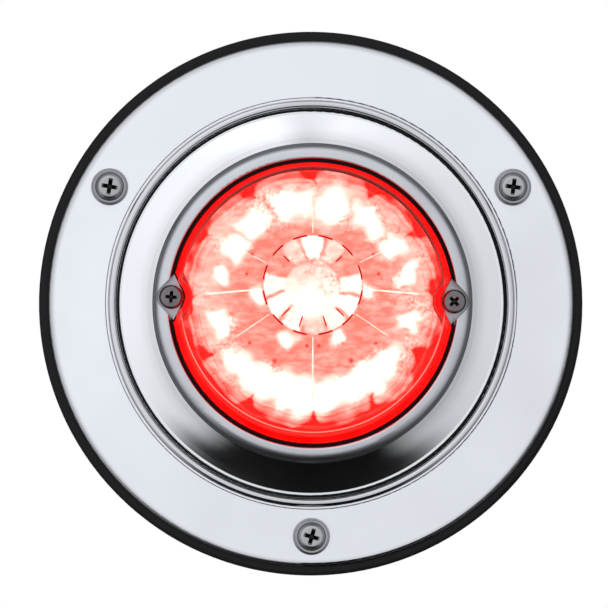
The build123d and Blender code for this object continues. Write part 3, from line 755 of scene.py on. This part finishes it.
def lit_optic():
    """Clear red-lit optic: salmon, white over the LEDs and pure red at the rim, with speckle and rings."""
    made, tree, shader = material("lit_optic", optic_tint, 0.18, Emission_Strength=lit_strength)
    layer = tree.node("ShaderNodeAttribute", attribute_name="glow")
    shares = tree.node("ShaderNodeSeparateColor")
    tree.put(layer.outputs["Color"], shares.inputs[0])
    white, red, dark = shares.outputs
    speckle = tree.noise(900, 3, roughness=0.7)
    patches = tree.noise(120, 2)
    streaks = tree.noise(260, 4, stretch=(1, 0.3, 2.2), roughness=0.6)
    rings = tree.rings(tree.math("ADD", tree.radius(), tree.product(patches, 3 * mm)), 900)
    # speckle shows only where a white patch fades out, and more in some places than in others
    fading = tree.product(white, tree.math("SUBTRACT", 1.0, white))
    speckled = tree.spread(patches, 0.42, 0.62, 0.0, 1.0)
    grain = tree.product(speckled, tree.spread(speckle, 0.35, 0.7, -0.5, 0.5))
    uneven = tree.math("ADD", white, tree.product(fading, grain, 3.2))
    uneven = tree.math("ADD", uneven, tree.spread(streaks, 0.40, 0.75, 0.0, 0.26))
    colour = tree.mix(tree.spread(uneven, 0.02, 0.8, 0.0, 1.0), salmon, pure_white)
    uneven_red = tree.math("ADD", red, tree.vary(rings, -0.22, 0.22))
    some_red = tree.spread(red, 0.0, 0.1, 0.0, 1.0)
    red_share = tree.product(tree.spread(uneven_red, 0.15, 0.85, 0.0, 1.0), some_red)
    colour = tree.mix(red_share, colour, lit_red)
    tree.put(tree.mix(dark, colour, lit_dark), shader.inputs["Emission Color"])
    tree.put(tree.mix(red_share, (*optic_tint, 1.0), optic_red_tint), shader.inputs["Base Color"])
    tree.put(tree.bump(speckle, 0.3, 0.03 * mm), shader.inputs["Normal"])
    return made


def plain_lit(name, glow, tint, roughness=0.25):
    """Evenly lit moulded detail with slight changes along it."""
    made, tree, shader = material(name, tint, roughness, Emission_Strength=lit_strength)
    changes = tree.noise(400, 2)
    uneven = tree.vary(changes, 0.0, 1.0, reach=0.15)
    tree.put(tree.mix(uneven, shade(glow, 1.0), shade(glow, 0.6)), shader.inputs["Emission Color"])
    tree.put(tree.vary(changes, roughness, roughness + 0.15), shader.inputs["Roughness"])
    return made


def cover_lens():
    """Clear red lens that glows at its rim and round the two screw notches."""
    made, tree, shader = material("red_lens", lens_tint, 0.03, Transmission_Weight=1.0, IOR=1.2)
    shader.inputs["Specular IOR Level"].default_value = 0.25
    shader.inputs["Emission Strength"].default_value = 1.15
    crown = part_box("lens")[1].z - 2.4 * mm
    reach = tree.radius(0.0, rim_up)
    rim = tree.spread(reach, crown - 2.5 * mm, crown - 1.9 * mm, 0.0, 1.0, smooth=True)
    deeper = tree.spread(tree.radius(), crown - 2.4 * mm, crown - 0.8 * mm, 0.0, 1.0, smooth=True)
    for name in lens_screws:
        round_notch = tree.spread(tree.radius(*axis_of(name)), 5.3 * mm, 6.2 * mm, 1.0, 0.0, smooth=True)
        rim = tree.math("MAXIMUM", rim, round_notch)
        deeper = tree.math("MAXIMUM", deeper, round_notch)
    # painted highlight: a thin pale line inside the rim, shown only in the lower half
    line_out = tree.spread(reach, crown - 2.75 * mm, crown - 2.5 * mm, 0.0, 1.0, smooth=True)
    line_in = tree.spread(reach, crown - 2.5 * mm, crown - 2.25 * mm, 1.0, 0.0, smooth=True)
    low_down = tree.spread(tree.split(tree.place())[2], -14 * mm, 4 * mm, 1.0, 0.15, smooth=True)
    line = tree.product(line_out, line_in, low_down)
    # the lens's side wall doesn't glow
    side = front_of("lens_gasket") * mm
    facing = tree.spread(tree.forward(), side + 0.4 * mm, side + 2.2 * mm, 0.0, 1.0, smooth=True)
    rim = tree.product(rim, facing)
    changes = tree.noise(160, 3)
    glow = tree.mix(rim, pure_black, tree.mix(tree.vary(changes, 0.0, 1.0, reach=0.15), *rim_glow))
    glow = tree.mix(tree.product(line, 0.75), glow, painted_rim_highlight)
    tree.put(glow, shader.inputs["Emission Color"])
    tree.put(tree.vary(changes, 0.02, 0.05), shader.inputs["Roughness"])
    tree.put(tree.mix(deeper, (*lens_tint, 1.0), lens_deep_tint), shader.inputs["Base Color"])
    return made


# ---------------------------------------------------------------- pieces
def add_piece(piece, made, body, stands_for=()):
    """Give a piece its material, its body and its slot, and hide the CAD nodes it stands for."""
    dress(made, piece)
    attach(piece, body)
    if stands_for:
        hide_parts(*stands_for)


optic_look = lit_optic()
spoke_look = plain_lit("lit_spoke", (1.0, 0.92, 0.9), (0.9, 0.6, 0.6))
mark_look = plain_lit("lit_mark", (0.10, 0.002, 0.003), (0.1, 0.005, 0.005))
thread_look = plain_metal("thread_steel", (0.44, 0.44, 0.45), 0.30)
add_piece(optic_petals(), optic_look, "lens_unit", ("petal_optic",))
add_piece(collimator_face(), optic_look, "lens_unit", ("collimator",))
add_piece(spokes(), spoke_look, "lens_unit")
add_piece(collimator_marks(), mark_look, "lens_unit")
for screw in mount_screws:
    thread = screw_thread(screw.replace("screw", "thread"), screw)
    add_piece(thread, thread_look, screw.removeprefix("mount_screw_") + "_mount_screw")
dress(cover_lens(), "lens")
dress(plain_lit("lit_tray", (0.12, 0.022, 0.02), (0.50, 0.46, 0.46)), "reflector")
dress(plain_lit("lit_led", (1.0, 0.8, 0.75), (0.95, 0.9, 0.85)), "ring_leds", "centre_led")


# ---------------------------------------------------------------- studio
surround_tint = (0.95, 0.97, 1.0, 1.0)
floor_radius = 1.2
floor_drop = 0.22
light_frame_width = 176.1376 * mm  # width the camera sees at the flange
light_right = 2.1438 * mm  # the light's axis, right of and above the picture's centre
light_above = 0.1564 * mm
# Soft lights: name, place, size and power
soft_lights = (
    ("key_light", (-0.75, -0.8, 0.25), 0.8, 5),
    ("fill_light", (0.7, -0.9, 0.6), 0.9, 1.5),
    ("rear_light", (-0.5, 0.9, 0.6), 0.6, 6),
)


def studio():
    """White surroundings that get darker to the sides, over a dark table."""
    world = bpy.data.worlds.new("studio")
    bpy.context.scene.world = world
    tree = Tree(world)
    background = tree.nodes["Background"]
    x, y, z = tree.split(tree.node("ShaderNodeTexCoord").outputs["Generated"])
    sideways = tree.math("ABSOLUTE", x)
    front = tree.spread(tree.product(y, -1.0), -0.25, 0.60, 0.07, 1.0, smooth=True)
    # brighter high up than low down
    height = tree.product(tree.spread(z, -0.75, -0.1, 0.66, 0.90), tree.spread(z, 0.15, 0.7, 1.0, 1.12))
    # brightest a little to either side, more so on the left, and dimmer far out
    across = tree.product(
        tree.spread(x, -0.30, 0.10, 1.20, 0.97),
        tree.spread(x, 0.2, 0.6, 1.0, 0.80),
        tree.spread(x, -0.45, -0.15, 0.82, 1.0),
        tree.spread(sideways, 0.02, 0.15, 1.0, 1.27),
    )
    # the dark table is seen only where a surface faces well down
    below = tree.spread(z, -0.62, -0.36, 1.0, 0.0, smooth=True)
    table = tree.product(below, tree.spread(sideways, 0.42, 0.66, 1.0, 0.0, smooth=True))
    light = tree.product(front, height, across, tree.spread(table, 0.0, 1.0, 1.0, 0.010))
    # a second white panel, seen only by what faces the rear
    rear = tree.spread(y, 0.10, 0.65, 0.0, 0.85, smooth=True)
    rear = tree.product(rear, tree.spread(z, -0.5, 0.3, 0.5, 1.0))
    light = tree.math("MAXIMUM", light, rear)
    # the backdrop itself is plain white
    seen = tree.node("ShaderNodeLightPath").outputs["Is Camera Ray"]
    tree.put(tree.mix(seen, surround_tint, pure_white), background.inputs["Color"])
    hidden = tree.product(light, tree.math("SUBTRACT", 1.0, seen))
    tree.put(tree.math("ADD", hidden, seen), background.inputs["Strength"])


def soft_light(name, place, size, power):
    """Square area light aimed at the origin, left out of reflections."""
    data = bpy.data.lights.new(name, "AREA")
    data.shape = "SQUARE"
    data.size = size
    data.energy = power
    lamp = bpy.data.objects.new(name, data)
    lamp.location = place
    lamp.rotation_euler = (-Vector(place)).to_track_quat("-Z", "Y").to_euler()
    lamp.visible_glossy = False
    bpy.context.scene.collection.objects.link(lamp)


def floor():
    """Pale floor, well below the light."""
    mesh = bpy.data.meshes.new("floor")
    shape = bmesh.new()
    bmesh.ops.create_circle(shape, cap_ends=True, segments=96, radius=floor_radius)
    shape.to_mesh(mesh)
    shape.free()
    piece = bpy.data.objects.new("floor", mesh)
    piece.location.z = cad_low.z - floor_drop
    piece.visible_glossy = False
    bpy.context.scene.collection.objects.link(piece)
    dress(material("pale_floor", (0.88, 0.88, 0.88), 0.6)[0], piece)


def camera():
    """Long lens, straight on, a little below and to the left of the light's axis."""
    data = bpy.data.cameras.new("camera")
    data.lens = 400
    data.sensor_width = 36
    made = bpy.data.objects.new("camera", data)
    bpy.context.scene.collection.objects.link(made)
    bpy.context.scene.camera = made
    distance = light_frame_width * data.lens / data.sensor_width
    azimuth, elevation = radians(-2.0), radians(-0.6)
    aim = Vector((0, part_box("flange")[0].y, 0))
    back = Vector((sin(azimuth) * cos(elevation), -cos(azimuth) * cos(elevation), sin(elevation)))
    made.location = aim + back * distance
    made.rotation_euler = (-back).to_track_quat("-Z", "Y").to_euler()
    data.shift_x = -light_right / light_frame_width
    data.shift_y = -light_above / light_frame_width


studio()
floor()
for name, place, size, power in soft_lights:
    soft_light(name, place, size, power)
camera()
bpy.context.scene.view_settings.view_transform = "Standard"
